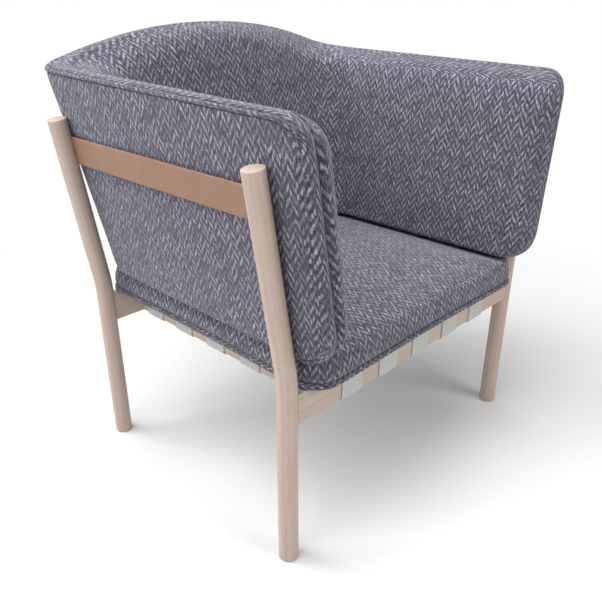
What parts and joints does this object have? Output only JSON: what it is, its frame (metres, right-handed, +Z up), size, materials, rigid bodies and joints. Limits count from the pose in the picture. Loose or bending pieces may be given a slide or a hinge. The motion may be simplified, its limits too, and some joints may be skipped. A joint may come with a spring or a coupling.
{
  "type": "easy chair",
  "caption": "Upholstered easy chair: a U-shaped padded shell of arms and back on a round-legged wooden frame with webbing and a loose seat cushion.",
  "frame": {"origin": "on the floor, under the middle of the chair's bounding box", "axes": "+Z up, the sitter faces -Y, +X to the sitter's left"},
  "size_m": [0.7692, 0.6344, 0.8008],
  "materials": {
    "beech": "pale soaped beech, straight fine grain, satin",
    "tenon_wood": "unfinished beech",
    "plywood": "unfinished moulded plywood",
    "webbing": "pale grey woven webbing",
    "leather": "natural tan vegetable-tanned leather, matte",
    "wool": "grey herringbone wool upholstery",
    "piping": "piping covered in the same wool, cut on the bias",
    "steel": "zinc-plated steel",
    "glide": "pale nylon"
  },
  "bodies": {
    "root": {"shell_stud_front_left": "steel", "strap_screw_front_left_1": "steel", "strap_screw_front_left_2": "steel", "leg_front_left": "beech", "glide_front_left": "glide", "tenon_leg_front_left": "tenon_wood", "tenon_side_front_left": "tenon_wood", "shell_stud_rear_left": "steel", "strap_screw_rear_left_1": "steel", "strap_screw_rear_left_2": "steel", "leg_rear_left": "beech", "glide_rear_left": "glide", "tenon_leg_rear_left": "tenon_wood", "tenon_side_rear_left": "tenon_wood", "arm_strap_left": "leather", "rail_left": "beech", "shell_stud_front_right": "steel", "strap_screw_front_right_1": "steel", "strap_screw_front_right_2": "steel", "leg_front_right": "beech", "glide_front_right": "glide", "tenon_leg_front_right": "tenon_wood", "tenon_side_front_right": "tenon_wood", "shell_stud_rear_right": "steel", "strap_screw_rear_right_1": "steel", "strap_screw_rear_right_2": "steel", "leg_rear_right": "beech", "glide_rear_right": "glide", "tenon_leg_rear_right": "tenon_wood", "tenon_side_rear_right": "tenon_wood", "arm_strap_right": "leather", "rail_right": "beech", "rail_front": "beech", "rail_rear": "beech", "webbing_long_1": "webbing", "webbing_long_2": "webbing", "webbing_long_3": "webbing", "webbing_long_4": "webbing", "webbing_long_5": "webbing", "webbing_cross_1": "webbing", "webbing_cross_2": "webbing", "webbing_cross_3": "webbing", "webbing_cross_4": "webbing", "webbing_cross_5": "webbing", "seat_cushion": "wool", "cushion_welt": "piping", "shell_outer_pad": "wool", "shell_core": "plywood", "shell_inner_pad": "wool", "shell_outer_welt": "piping", "shell_inner_welt": "piping"}
  },
  "joints": []
}
